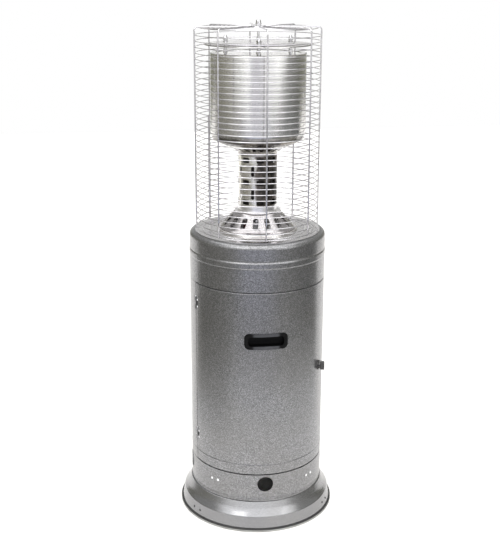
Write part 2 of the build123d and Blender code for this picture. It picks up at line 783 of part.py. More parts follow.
with BuildPart() as burner_bell:
    add(
        spun_sheet(
            [
                (104, BELL_FOOT_Z + THIN_SHEET + SNUG),
                (100, BELL_FOOT_Z + 4),
                (64, BELL_TOP_Z - 3),
                (BELL_TOP_R, BELL_TOP_Z),
                (48, BELL_TOP_Z),
            ],
            [3, 8, 2],
            thickness=THIN_SHEET,
        )
    )
    slope = degrees(atan(36 / (BELL_TOP_Z - BELL_FOOT_Z - 6)))
    for slot in range(BELL_SLOTS):
        slot_angle = (slot + 0.5) * 360 / BELL_SLOTS
        with BuildSketch(facing(82, slot_angle, (BELL_FOOT_Z + BELL_TOP_Z) / 2, lean=slope)):
            SlotOverall(36, 15, rotation=90)
        extrude(amount=8, both=True, mode=Mode.SUBTRACT)
burner_bell.part.label = "burner_bell"
export_step(burner_bell.part, "parts/burner_bell.step")

with BuildPart() as pilot_bracket:
    with BuildSketch(radial_plane(ELECTRODE_ANGLE + 8)):
        with BuildLine():
            Polyline(
                (PILOT_R, TOP_PLATE_Z + SNUG),
                (PILOT_R + 14, TOP_PLATE_Z + SNUG),
                (PILOT_R + 14, TOP_PLATE_Z + 1.5),
                (PILOT_R + 1.5, TOP_PLATE_Z + 1.5),
                (PILOT_R + 1.5, 846),
                (PILOT_R, 846),
                close=True,
            )
        make_face()
    revolve(axis=Axis.Z, revolution_arc=THERMOCOUPLE_ANGLE - ELECTRODE_ANGLE - 16)
pilot_bracket.part.label = "pilot_bracket"
export_step(pilot_bracket.part, "parts/pilot_bracket.step")

electrode_foot, thermocouple_foot = lead_points
with BuildPart() as ignition_electrode:
    with Locations((electrode_foot.X, electrode_foot.Y)):
        add(turned((2.9, 828, 848), (0.8, 848, 858)))
ignition_electrode.part.label = "ignition_electrode"
export_step(ignition_electrode.part, "parts/ignition_electrode.step")

with BuildPart() as thermocouple:
    with Locations((thermocouple_foot.X, thermocouple_foot.Y)):
        add(turned((2.9, 828, 838), (2.2, 838, 860)))
thermocouple.part.label = "thermocouple"
export_step(thermocouple.part, "parts/thermocouple.step")

piezo_rear = around(BODY_R - 60 - SNUG, BUTTON_ANGLE, CONTROL_Z)
valve_side = around(BODY_R - VALVE_BACK - SNUG, KNOB_ANGLE - 4.4, CONTROL_Z)
for lead_start, lead_foot, lead_node in (
    (piezo_rear, electrode_foot, "ignition_lead"),
    (valve_side, thermocouple_foot, "thermocouple_lead"),
):
    with BuildPart() as lead:
        with BuildLine() as lead_route:
            FilletPolyline(
                lead_start,
                (lead_foot.X, lead_foot.Y, CONTROL_Z),
                (lead_foot.X, lead_foot.Y, 828 - SNUG),
                radius=16,
            )
        with BuildSketch(Plane(lead_start, z_dir=lead_route.line % 0)):
            Circle(LEAD_R)
        sweep()
    lead.part.label = lead_node
    export_step(lead.part, f"parts/{lead_node}.step")

# ---------------------------------------------------------------- flame screen and emitter
SCREEN_COLUMNS = 8
SCREEN_SLOT_ROWS = (918.0, 980.0)
SCREEN_WINDOW_ROWS = (895.5, 949.0, 1009.0)
COLLAR_TOP = 886.0
FLAME_TUBE_R = 40.0
FLAME_TUBE_TOP = 1012.0
FLAME_TUBE_ROWS = (860.0, 878.0)

with BuildPart() as screen_collar:
    add(
        spun_sheet(
            [
                (BELL_TOP_R + 2.5, BELL_TOP_Z + SNUG + THIN_SHEET),
                (SCREEN_R + SNUG + THIN_SHEET, BELL_TOP_Z + SNUG + THIN_SHEET),
                (SCREEN_R + SNUG + THIN_SHEET, COLLAR_TOP),
            ],
            [1.5],
            thickness=THIN_SHEET,
        )
    )
screen_collar.part.label = "screen_collar"
export_step(screen_collar.part, "parts/screen_collar.step")

with BuildPart() as flame_screen:
    add(spun_ring(SCREEN_R - THIN_SHEET, SCREEN_R, SCREEN_BOTTOM, SCREEN_TOP))
    for column in range(SCREEN_COLUMNS):
        slot_angle = (column + 0.5) * 360 / SCREEN_COLUMNS
        for row_z in SCREEN_SLOT_ROWS:
            with BuildSketch(facing(SCREEN_R - 6, slot_angle, row_z)):
                SlotOverall(28, 9, rotation=90)
            extrude(amount=12, mode=Mode.SUBTRACT)
        for row_z in SCREEN_WINDOW_ROWS:
            with BuildSketch(facing(SCREEN_R - 6, slot_angle + 180 / SCREEN_COLUMNS, row_z)):
                RectangleRounded(20, 14, 2.5)
            extrude(amount=12, mode=Mode.SUBTRACT)
flame_screen.part.label = "flame_screen"
export_step(flame_screen.part, "parts/flame_screen.step")

with BuildPart() as flame_tube:
    add(spun_ring(FLAME_TUBE_R - THIN_SHEET, FLAME_TUBE_R, BURNER_TOP + SNUG, FLAME_TUBE_TOP))
    for row, row_z in enumerate(FLAME_TUBE_ROWS):
        for column in range(10):
            with BuildSketch(facing(FLAME_TUBE_R - 5, 36 * column + 18 * (row % 2), row_z)):
                SlotOverall(14, 5, rotation=90)
            extrude(amount=10, mode=Mode.SUBTRACT)
flame_tube.part.label = "flame_tube"
export_step(flame_tube.part, "parts/flame_tube.step")

CONE_FOOT_Z = 1020.0
CONE_BEND_Z = 1029.0
CONE_TOP_Z = DRUM_BOTTOM - 2
CONE_HOLES = 24

with BuildPart() as screen_cone:
    add(
        spun_sheet(
            [
                (SCREEN_R + 1.1, CONE_FOOT_Z),
                (SCREEN_R + 1.1, CONE_BEND_Z),
                (97, CONE_TOP_Z - 3),
                (105, CONE_TOP_Z),
            ],
            [4, 6],
            thickness=THIN_SHEET,
        )
    )
    lean = -degrees(atan((97 - SCREEN_R) / (CONE_TOP_Z - CONE_BEND_Z)))
    for hole in range(CONE_HOLES):
        hole_angle = hole * 360 / CONE_HOLES
        with BuildSketch(facing(78, hole_angle, (CONE_BEND_Z + CONE_TOP_Z) / 2 + 1, lean=lean)):
            SlotOverall(30, 9.5, rotation=90)
        extrude(amount=8, both=True, mode=Mode.SUBTRACT)
screen_cone.part.label = "screen_cone"
export_step(screen_cone.part, "parts/screen_cone.step")

with BuildPart() as emitter_drum:
    add(
        spun_sheet(
            [
                (96, DRUM_BOTTOM),
                (109, DRUM_BOTTOM),
                (122, 1063),
                (DRUM_R, 1081),
                (DRUM_R, DRUM_TOP),
                (112, DRUM_TOP),
            ],
            [12, 14, 16, 2],
            thickness=THIN_SHEET,
        )
    )
emitter_drum.part.label = "emitter_drum"
export_step(emitter_drum.part, "parts/emitter_drum.step")

STUD_R = 3.0
POST_CIRCLE_R = 100.0
POST_ANGLES = (-127, -7, 113)
POST_R = 3.5
POST_TOP = 1325.0
LID_Z = DRUM_TOP - THIN_SHEET - 0.3
DISH_AT_POSTS = 1314.0
post_points = [around(POST_CIRCLE_R, angle) for angle in POST_ANGLES]

with BuildPart() as drum_lid:
    add(spun_sheet([(121, LID_Z - 9), (121, LID_Z), (STUD_R + 0.05, LID_Z)], [2], thickness=THIN_SHEET))
drum_lid.part.label = "drum_lid"
export_step(drum_lid.part, "parts/drum_lid.step")

STAY_ANGLES = (-129, 133)
STAY_FOOT_Z = TOP_PLATE_Z + 3.8  # clear of the plate's ribs
with BuildPart() as drum_stays:
    for stay_angle in STAY_ANGLES:
        stay_low = around(139, stay_angle, STAY_FOOT_Z)
        with BuildLine() as stay_route:
            FilletPolyline(
                stay_low,
                around(158, stay_angle, STAY_FOOT_Z),
                around(158, stay_angle, 1110),
                around(DRUM_R + SNUG, stay_angle, 1113),
                radius=8,
            )
        with BuildSketch(Plane(stay_low, z_dir=stay_route.line % 0)):
            Circle(1.9)
        sweep()
drum_stays.part.label = "drum_stays"
export_step(drum_stays.part, "parts/drum_stays.step")

with BuildPart() as reflector:
    add(
        spun_sheet(
            [
                (REFLECTOR_R, 1306.5),
                (REFLECTOR_R, 1309.5),
                (POST_CIRCLE_R, DISH_AT_POSTS),
                (50, 1316.5),
                (STUD_R + 0.05, 1317.5),
            ],
            [2, 120, 150],
            thickness=THIN_SHEET,
        )
    )
    with Locations(*post_points):
        Cylinder(POST_R + 0.05, 4 * DRUM_TOP, mode=Mode.SUBTRACT)
reflector.part.label = "reflector"
export_step(reflector.part, "parts/reflector.step")

with BuildPart() as reflector_posts:
    with Locations(*post_points):
        add(
            turned(
                (POST_R, LID_Z + SNUG, POST_TOP),
                (5, DISH_AT_POSTS - 7, DISH_AT_POSTS - 2.4),
                (5.5, LID_Z + SNUG, LID_Z + 5),
            )
        )
reflector_posts.part.label = "reflector_posts"
export_step(reflector_posts.part, "parts/reflector_posts.step")

with BuildPart() as post_nuts:
    for post_point in post_points:
        with BuildSketch(Plane((post_point.X, post_point.Y, DISH_AT_POSTS + 1.4))):
            RegularPolygon(6.4, 6)
        extrude(amount=6)
        with BuildSketch(Plane((post_point.X, post_point.Y, DISH_AT_POSTS + 7))):
            Circle(5.4)
        extrude(amount=7, taper=20)
    with Locations(*post_points):
        Cylinder(POST_R, 2 * POST_TOP, mode=Mode.SUBTRACT)
post_nuts.part.label = "post_nuts"
export_step(post_nuts.part, "parts/post_nuts.step")

# ---------------------------------------------------------------- wire guard
SPOKE_R = GUARD_R + 1.8 - GUARD_BEND  # where the upright rods meet the spokes of the top
TOP_RING_RADII = [24 + 16.4 * ring for ring in range(9)]
HUB_R = 19.0
ROD_SIDES = 8
SPOKE_WIDTH = 3.5
PANEL_ANGLE = 360 / GUARD_RODS
PANEL_GAP = 0.02  # degrees between neighbouring panels

with BuildPart() as guard_panel:
    with BuildSketch(radial_plane(-PANEL_ANGLE / 2 + PANEL_GAP / 2)):
        for ring in range(GUARD_RINGS):
            with Locations((GUARD_R, GUARD_FIRST_RING + ring * GUARD_PITCH)):
                Rectangle(GUARD_WIRE, GUARD_WIRE)
    revolve(axis=Axis.Z, revolution_arc=PANEL_ANGLE - PANEL_GAP)
    with BuildSketch(Plane.XY.offset(TOP_PLATE_Z + SNUG)):
        with Locations((0, -GUARD_R - 1.8)):
            RegularPolygon(GUARD_ROD_R, ROD_SIDES)
    extrude(amount=GUARD_TOP_Z - GUARD_BEND - TOP_PLATE_Z - SNUG)
    with BuildSketch(Plane.XY.offset(GUARD_TOP_Z - GUARD_BEND)):
        with Locations((0, -GUARD_R - 1.8)):
            RegularPolygon(GUARD_ROD_R, ROD_SIDES)
    bend_axis = Axis((0, -GUARD_R - 1.8 + GUARD_BEND, GUARD_TOP_Z - GUARD_BEND), (-1, 0, 0))
    revolve(axis=bend_axis, revolution_arc=90)

with BuildPart() as guard_panels:
    with PolarLocations(0, GUARD_RODS):
        add(guard_panel.part)
guard_panels.part.label = "guard_panels"
export_step(guard_panels.part, "parts/guard_panels.step")

with BuildPart() as guard_top:
    for spoke in range(GUARD_RODS):
        with BuildSketch(facing(HUB_R - 6, spoke * PANEL_ANGLE, GUARD_TOP_Z)):
            Rectangle(SPOKE_WIDTH, SPOKE_WIDTH)
        extrude(amount=SPOKE_R - SNUG - HUB_R + 6)
    with BuildSketch(Plane.XZ):
        for ring_r in TOP_RING_RADII:
            with Locations((ring_r, GUARD_TOP_Z - 2)):
                Rectangle(GUARD_WIRE, GUARD_WIRE)
    revolve(axis=Axis.Z)
    with BuildSketch(Plane.XY.offset(GUARD_TOP_Z - 2)):
        Circle(HUB_R)
    extrude(amount=4)
    with BuildSketch(Plane.XY.offset(GUARD_TOP_Z - 5)):
        Circle(STUD_R + 0.1)
    extrude(amount=12, mode=Mode.SUBTRACT)
guard_top.part.label = "guard_top"
export_step(guard_top.part, "parts/guard_top.step")

NUT_TOP = 1370.0
WASHER_Z = GUARD_TOP_Z + 2.05

with BuildPart() as top_washer:
    add(spun_ring(STUD_R + 0.05, 20, WASHER_Z, WASHER_Z + 1.5))
top_washer.part.label = "top_washer"
export_step(top_washer.part, "parts/top_washer.step")

with BuildPart() as centre_stud:
    add(
        turned(
            (STUD_R, LID_Z - 8, NUT_TOP - 6),
            (6, LID_Z + SNUG, LID_Z + 5),
            (6, LID_Z - 6, LID_Z - THIN_SHEET - SNUG),
            (6, 1318.5, 1324),
            (6, GUARD_TOP_Z - 7, GUARD_TOP_Z - 2.05),
        )
    )
centre_stud.part.label = "centre_stud"
export_step(centre_stud.part, "parts/centre_stud.step")

with BuildPart() as top_nut:
    with BuildSketch(Plane.XY.offset(WASHER_Z + 1.55)):
        RegularPolygon(8, 6)
    extrude(amount=6)
    with BuildSketch(Plane.XY.offset(WASHER_Z + 7)):
        Circle(6.6)
    extrude(amount=NUT_TOP - WASHER_Z - 7)
    fillet(top_nut.faces().sort_by(Axis.Z)[-1].edges(), radius=4.5)
    with BuildSketch(Plane.XY.offset(WASHER_Z)):
        Circle(STUD_R)
    extrude(amount=NUT_TOP - 6 - WASHER_Z, mode=Mode.SUBTRACT)
top_nut.part.label = "top_nut"
export_step(top_nut.part, "parts/top_nut.step")
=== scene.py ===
import json
import math

import bmesh
import bpy
from mathutils import Matrix, Vector


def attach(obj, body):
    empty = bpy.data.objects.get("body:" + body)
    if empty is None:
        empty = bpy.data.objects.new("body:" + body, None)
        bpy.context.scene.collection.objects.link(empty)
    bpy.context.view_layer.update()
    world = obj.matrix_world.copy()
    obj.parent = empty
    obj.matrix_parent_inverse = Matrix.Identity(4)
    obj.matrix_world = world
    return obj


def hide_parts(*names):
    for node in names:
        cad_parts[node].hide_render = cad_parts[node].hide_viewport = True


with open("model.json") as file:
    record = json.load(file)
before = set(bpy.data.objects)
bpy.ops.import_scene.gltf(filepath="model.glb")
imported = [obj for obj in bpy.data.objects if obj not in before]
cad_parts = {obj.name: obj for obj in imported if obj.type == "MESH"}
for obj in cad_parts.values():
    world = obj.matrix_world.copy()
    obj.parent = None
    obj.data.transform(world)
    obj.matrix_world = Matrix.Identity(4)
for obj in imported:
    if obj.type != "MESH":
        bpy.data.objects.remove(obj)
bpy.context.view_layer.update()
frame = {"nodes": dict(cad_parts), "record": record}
nodes = frame["nodes"]

# ---------------------------------------------------------------- camera
CAMERA_TURN = -8.0
CAMERA_AZIMUTH = math.radians(CAMERA_TURN)
CAMERA_DISTANCE = 2.690
CAMERA_HEIGHT = 1.493
CAMERA_PITCH = math.radians(16.81)
CAMERA_YAW = math.radians(0.418)
CAMERA_ROLL = math.radians(-0.195)
LENS_MM = 66.15


def add_camera():
    """The photograph's view: from a little left of the front, looking down."""
    place = Vector((math.sin(CAMERA_AZIMUTH), -math.cos(CAMERA_AZIMUTH), 0.0)) * CAMERA_DISTANCE
    place.z = CAMERA_HEIGHT
    heading = Vector((-place.x, -place.y, 0.0)).normalized()
    heading.rotate(Matrix.Rotation(CAMERA_YAW, 3, "Z"))
    ahead = heading * math.cos(CAMERA_PITCH) - Vector((0.0, 0.0, 1.0)) * math.sin(CAMERA_PITCH)
    right = ahead.cross(Vector((0.0, 0.0, 1.0))).normalized()
    up = right.cross(ahead)
    turned_right = right * math.cos(CAMERA_ROLL) - up * math.sin(CAMERA_ROLL)
    turned_up = right * math.sin(CAMERA_ROLL) + up * math.cos(CAMERA_ROLL)
    data = bpy.data.cameras.new("camera")
    data.sensor_width = 36.0
    data.sensor_fit = "AUTO"
    data.lens = LENS_MM
    data.clip_end = 100.0
    camera = bpy.data.objects.new("camera", data)
    bpy.context.scene.collection.objects.link(camera)
    axes = Matrix((turned_right, turned_up, -ahead)).transposed().to_4x4()
    camera.matrix_world = Matrix.Translation(place) @ axes
    bpy.context.scene.camera = camera


add_camera()


# ---------------------------------------------------------------- node helpers
class Nodes:
    """Short calls to build one node tree."""

    def __init__(self, tree):
        self.tree = tree
        tree.nodes.clear()

    def new(self, kind, inputs=None, **settings):
        node = self.tree.nodes.new(kind)
        for name, value in settings.items():
            setattr(node, name, value)
        for socket, value in (inputs or {}).items():
            self.feed(node.inputs[socket], value)
        return node

    def feed(self, socket, value):
        if isinstance(value, bpy.types.NodeSocket):
            self.tree.links.new(value, socket)
        else:
            socket.default_value = value

    def math(self, operation, first, second=0.0):
        node = self.new("ShaderNodeMath", operation=operation)
        self.feed(node.inputs[0], first)
        self.feed(node.inputs[1], second)
        return node.outputs[0]

    def ramp(self, value, stops):
        node = self.new("ShaderNodeValToRGB", {"Fac": value})
        elements = node.color_ramp.elements
        elements.remove(elements[1])
        for index, (place, colour) in enumerate(stops):
            element = elements.new(place) if index else elements[0]
            element.position = place
            element.color = (*colour, 1.0)
        return node.outputs["Color"]

    def noise(self, vector, scale, detail=2.0, roughness=0.5):
        node = self.new("ShaderNodeTexNoise", {"Vector": vector, "Scale": scale, "Detail": detail,
                                               "Roughness": roughness})
        return node.outputs["Fac"]

    def cells(self, vector, scale, output="Distance", feature="F1", smooth=0.0):
        node = self.new("ShaderNodeTexVoronoi", {"Vector": vector, "Scale": scale}, feature=feature)
        if feature == "SMOOTH_F1":
            node.inputs["Smoothness"].default_value = smooth
        return node.outputs[output]

    def span(self, value, low, high, to_low=0.0, to_high=1.0):
        node = self.new("ShaderNodeMapRange", {"Value": value, "From Min": low, "From Max": high,
                                               "To Min": to_low, "To Max": to_high})
        node.interpolation_type = "SMOOTHSTEP"
        return node.outputs["Result"]

    def mix(self, factor, first, second, blend="MIX"):
        node = self.new("ShaderNodeMix", data_type="RGBA", blend_type=blend)
        self.feed(node.inputs["Factor"], factor)
        for index, value in ((6, first), (7, second)):
            if isinstance(value, tuple):
                value = (*value, 1.0)
            self.feed(node.inputs[index], value)
        return node.outputs[2]

    def place(self):
        """Where a point is on the object, in metres."""
        return self.new("ShaderNodeTexCoord").outputs["Object"]

    def axis(self, letter):
        """One coordinate of place: X, Y or Z."""
        return self.new("ShaderNodeSeparateXYZ", {"Vector": self.place()}).outputs[letter]

    def turn(self, parts):
        """Angle round the heater's axis: 0 at the front, growing towards its right."""
        return self.math("ARCTAN2", parts.outputs["X"], self.math("MULTIPLY", parts.outputs["Y"], -1.0))

    def around_axis(self, along, across):
        """Coordinates for lines that run round the axis: `along` stretches them, `across` packs them."""
        parts = self.new("ShaderNodeSeparateXYZ", {"Vector": self.place()})
        angle = self.turn(parts)
        return self.new("ShaderNodeCombineXYZ", {
            "X": self.math("MULTIPLY", self.math("SINE", angle), along),
            "Y": self.math("MULTIPLY", self.math("COSINE", angle), along),
            "Z": self.math("MULTIPLY", parts.outputs["Z"], across),
        }).outputs["Vector"]

    def wander(self, value, cloud, reach):
        """value, pushed to and fro by a noise."""
        return self.math("ADD", value, self.math("MULTIPLY", self.math("SUBTRACT", cloud, 0.5), reach))

    def bump(self, height, strength, distance):
        node = self.new("ShaderNodeBump", {"Height": height, "Strength": strength, "Distance": distance})
        return node.outputs["Normal"]


def new_material(name, build, **constants):
    """A material whose Principled shader takes its constants here and its links from build."""
    material = bpy.data.materials.new(name)
    material.use_nodes = True
    tree = Nodes(material.node_tree)
    shader = tree.new("ShaderNodeBsdfPrincipled")
    out = tree.new("ShaderNodeOutputMaterial")
    material.node_tree.links.new(shader.outputs["BSDF"], out.inputs["Surface"])
    for socket, value in constants.items():
        shader.inputs[socket.replace("_", " ")].default_value = value
    links = build(tree)
    for socket, value in links.items():
        tree.feed(shader.inputs[socket.replace("_", " ")], value)
    return material


# ---------------------------------------------------------------- materials
PAINT_TONES = [(0.0, (0.115, 0.117, 0.121)), (0.55, (0.220, 0.221, 0.226)), (1.0, (0.46, 0.46, 0.47))]
# Where the flame screen's dark right side begins and how fast it fades in: scorch together with painted
# reflection.
SCORCH_AND_REFLECTION_FROM_X = -0.016
SCORCH_AND_REFLECTION_FADE = 0.010
DRUM_BEND_Z = 1.062
DRUM_BEND_FADE = 0.024
GRIP_FACE_Y = -0.1862
# Depth at which the grip's painted recess shade is full.
GRIP_RECESS_SHADE_Y = -0.1845
# Heights where the edging's pale foot turns into the painted shade of the gap under the skirt.
EDGING_FOOT_Z = 0.0054
EDGING_GAP_SHADE_Z = 0.0058
HEAT_LOW_Z = 0.865
HEAT_HIGH_Z = 1.00


def paint(speck, contrast, rough, dimple, shade=1.0):
    """Silver-grey metallic paint: fine flakes, a shallow hammered skin and slow tone changes."""
    def build(tree):
        place = tree.place()
        flakes = tree.cells(place, speck, output="Color")
        flake = tree.new("ShaderNodeSeparateColor", {"Color": flakes}).outputs["Red"]
        grain = tree.noise(place, 400.0, detail=2.0, roughness=0.6)
        slow = tree.noise(place, 7.0, detail=2.0)
        tone = tree.math("ADD", tree.math("MULTIPLY", flake, 0.6), tree.math("MULTIPLY", grain, 0.4))
        tone = tree.span(tone, 0.5 - contrast, 0.5 + contrast)
        colour = tree.ramp(tone, PAINT_TONES)
        colour = tree.mix(tree.span(slow, 0.35, 0.65, 0.0, 0.25), colour, (0.21, 0.205, 0.195))
        # shade multiplies the whole colour; a value above 1, as on base_flare, is painted light.
        colour = tree.mix(1.0, colour, (shade, shade, shade), blend="MULTIPLY")
        roughness = tree.math("ADD", tree.math("MULTIPLY", grain, 0.12), rough)
        dimples = tree.cells(place, 420.0, feature="SMOOTH_F1", smooth=0.4)
        bumps = tree.math("ADD", tree.math("MULTIPLY", dimples, 0.6), tree.math("MULTIPLY", grain, 0.4))
        return {"Base_Color": colour, "Roughness": roughness, "Normal": tree.bump(bumps, dimple, 0.0004)}
    return build


def brushed(light, dark, low, high, strength=0.05):
    """Sheet steel with fine lines that run round the axis, and faint smudges."""
    def build(tree):
        lines = tree.noise(tree.around_axis(1.2, 1400.0), 1.0, detail=3.0, roughness=0.65)
        smudge = tree.noise(tree.place(), 18.0, detail=3.0, roughness=0.6)
        colour = tree.mix(tree.span(lines, 0.3, 0.7), dark, light)
        colour = tree.mix(tree.span(smudge, 0.45, 0.75, 0.0, 0.3), colour, tuple(c * 0.8 for c in dark))
        rough = tree.span(tree.math("ADD", lines, smudge), 0.6, 1.4, low, high)
        return {"Base_Color": colour, "Roughness": rough, "Normal": tree.bump(lines, strength, 0.0003)}
    return build


def scorched_screen_with_painted_reflection(tree):
    """Flame screen: pale steel on its left, scorched brown and black towards its right; the dark right side
    is partly real scorch and partly a painted reflection of the dark surroundings on that side.
    """
    lines = tree.noise(tree.around_axis(1.5, 900.0), 1.0, detail=3.0, roughness=0.6)
    cloud = tree.noise(tree.place(), 38.0, detail=4.0, roughness=0.62)
    side = tree.wander(tree.axis("X"), cloud, 0.035)
    # Mask of the dark right side: real scorch together with a painted dark reflection.
    burn_and_painted_reflection = tree.span(side, SCORCH_AND_REFLECTION_FROM_X, SCORCH_AND_REFLECTION_FROM_X + SCORCH_AND_REFLECTION_FADE)
    straw = tree.mix(tree.span(cloud, 0.35, 0.65), (0.70, 0.67, 0.52), (0.82, 0.80, 0.74))
    pale = tree.mix(tree.span(lines, 0.3, 0.7), straw, (0.86, 0.85, 0.84))
    # Dark browns and black: scorch colour that also serves as a painted dark reflection.
    soot_and_painted_reflection = tree.mix(tree.span(cloud, 0.42, 0.62), (0.012, 0.010, 0.009), (0.11, 0.092, 0.078))
    colour = tree.mix(tree.math("MULTIPLY", burn_and_painted_reflection, 0.95), pale, soot_and_painted_reflection)
    rough = tree.math("ADD", tree.span(burn_and_painted_reflection, 0.0, 1.0, 0.20, 0.34), tree.math("MULTIPLY", cloud, 0.1))
    return {"Base_Color": colour, "Roughness": rough, "Normal": tree.bump(lines, 0.05, 0.0003)}


def drum_steel(tree):
    """Emitter drum: bright brushed steel that turns dark brown along its bottom bend, partly heat tint and
    partly a painted dark reflection.
    """
    lines = tree.noise(tree.around_axis(1.2, 1100.0), 1.0, detail=3.0, roughness=0.65)
    cloud = tree.noise(tree.place(), 26.0, detail=3.0, roughness=0.6)
    height = tree.wander(tree.axis("Z"), cloud, 0.018)
    # Mask of the bottom bend: heat tint together with a painted dark reflection.
    burn_and_painted_reflection = tree.span(height, DRUM_BEND_Z, DRUM_BEND_Z + DRUM_BEND_FADE, 1.0, 0.0)
    steel = tree.mix(tree.span(lines, 0.3, 0.7), (0.70, 0.695, 0.68), (0.78, 0.775, 0.76))
    # Dark browns for the bend: tint colour that also serves as a painted reflection.
    brown = tree.mix(tree.span(cloud, 0.4, 0.6), (0.035, 0.030, 0.024), (0.20, 0.175, 0.14))
    colour = tree.mix(tree.math("MULTIPLY", burn_and_painted_reflection, 0.92), steel, brown)
    rough = tree.span(tree.math("ADD", lines, cloud), 0.6, 1.4, 0.14, 0.24)
    return {"Base_Color": colour, "Roughness": rough, "Normal": tree.bump(lines, 0.02, 0.0003)}


def heated(light, dark, low_z, high_z, tint):
    """Bright steel that the burner has tinted between two heights."""
    def build(tree):
        lines = tree.noise(tree.around_axis(1.5, 900.0), 1.0, detail=3.0, roughness=0.6)
        cloud = tree.noise(tree.place(), 14.0, detail=3.0, roughness=0.55)
        heat = tree.span(tree.wander(tree.axis("Z"), cloud, 0.05), low_z, high_z)
        colour = tree.mix(tree.span(lines, 0.3, 0.7), dark, light)
        colour = tree.mix(tree.math("MULTIPLY", heat, 0.75), colour, tint)
        rough = tree.span(tree.math("ADD", lines, cloud), 0.6, 1.4, 0.16, 0.32)
        return {"Base_Color": colour, "Roughness": rough, "Normal": tree.bump(lines, 0.05, 0.0003)}
    return build


def plated(colour, dull, scale=400.0, low=0.10, high=0.24):
    """Bright plating with fine pits and a little dulling."""
    def build(tree):
        place = tree.place()
        pits = tree.noise(place, scale, detail=3.0, roughness=0.6)
        haze = tree.noise(place, 40.0, detail=2.0)
        tone = tree.mix(tree.span(tree.math("ADD", pits, haze), 0.85, 1.35, 0.0, 0.8), colour, dull)
        rough = tree.span(tree.math("ADD", pits, haze), 0.7, 1.4, low, high)
        return {"Base_Color": tone, "Roughness": rough, "Normal": tree.bump(pits, 0.05, 0.0001)}
    return build


def galvanised(tree):
    """Zinc-coated sheet with its crystal pattern."""
    place = tree.place()
    crystals = tree.cells(place, 70.0, output="Color")
    shade = tree.new("ShaderNodeSeparateColor", {"Color": crystals}).outputs["Green"]
    dust = tree.noise(place, 30.0, detail=4.0)
    colour = tree.mix(shade, (0.34, 0.35, 0.36), (0.52, 0.53, 0.54))
    colour = tree.mix(tree.span(dust, 0.45, 0.8, 0.0, 0.4), colour, (0.25, 0.245, 0.235))
    rough = tree.span(shade, 0.0, 1.0, 0.34, 0.52)
    return {"Base_Color": colour, "Roughness": rough, "Normal": tree.bump(dust, 0.06, 0.0005)}


def moulded(base, worn, scale=900.0, low=0.38, high=0.56):
    """Moulded plastic or rubber: a fine grain with slightly lighter rubbed places."""
    def build(tree):
        place = tree.place()
        grain = tree.cells(place, scale, feature="SMOOTH_F1", smooth=0.5)
        rub = tree.noise(place, 25.0, detail=4.0, roughness=0.6)
        colour = tree.mix(tree.span(rub, 0.5, 0.8, 0.0, 0.6), base, worn)
        rough = tree.span(tree.math("ADD", grain, rub), 0.5, 1.3, low, high)
        return {"Base_Color": colour, "Roughness": rough, "Normal": tree.bump(grain, 0.12, 0.0003)}
    return build


def grip_plastic_recess_shade(tree):
    """Charcoal moulding whose recess is painted near-black as shade inside the handle's cup."""
    place = tree.place()
    grain = tree.cells(place, 900.0, feature="SMOOTH_F1", smooth=0.5)
    rub = tree.noise(place, 25.0, detail=4.0, roughness=0.6)
    face = tree.mix(tree.span(rub, 0.45, 0.8, 0.0, 0.7), (0.046, 0.047, 0.052), (0.075, 0.076, 0.082))
    # Deeper than the face the colour goes to near-black: painted shade in the recess.
    colour = tree.mix(tree.span(tree.axis("Y"), GRIP_FACE_Y, GRIP_RECESS_SHADE_Y), face, (0.0008, 0.0008, 0.0009))
    return {"Base_Color": colour, "Roughness": tree.span(rub, 0.2, 0.8, 0.42, 0.6),
            "Normal": tree.bump(grain, 0.12, 0.0003)}


def edging(tree):
    """Rubber edging: a pale grey foot, and above it a dark band that is painted shade of the gap under the
    skirt.
    """
    place = tree.place()
    grain = tree.cells(place, 600.0, feature="SMOOTH_F1", smooth=0.5)
    dust = tree.noise(place, 30.0, detail=4.0, roughness=0.6)
    pale = tree.mix(tree.span(dust, 0.4, 0.75), (0.30, 0.305, 0.29), (0.22, 0.22, 0.21))
    dark = tree.mix(tree.span(dust, 0.4, 0.75), (0.016, 0.016, 0.016), (0.04, 0.04, 0.038))
    # Above the foot the colour turns dark: painted shade of the gap between skirt and edging.
    colour = tree.mix(tree.span(tree.axis("Z"), EDGING_FOOT_Z, EDGING_GAP_SHADE_Z), pale, dark)
    return {"Base_Color": colour, "Roughness": tree.span(dust, 0.2, 0.8, 0.55, 0.75),
            "Normal": tree.bump(grain, 0.12, 0.0003)}


def glazed(tree):
    """White glazed insulator."""
    place = tree.place()
    cloud = tree.noise(place, 120.0, detail=3.0)
    colour = tree.mix(tree.span(cloud, 0.4, 0.7), (0.80, 0.77, 0.70), (0.88, 0.86, 0.81))
    return {"Base_Color": colour, "Roughness": tree.span(cloud, 0.3, 0.7, 0.12, 0.22),
            "Normal": tree.bump(cloud, 0.03, 0.0002)}


HAMMERED = paint(680.0, 0.52, 0.26, 0.12)

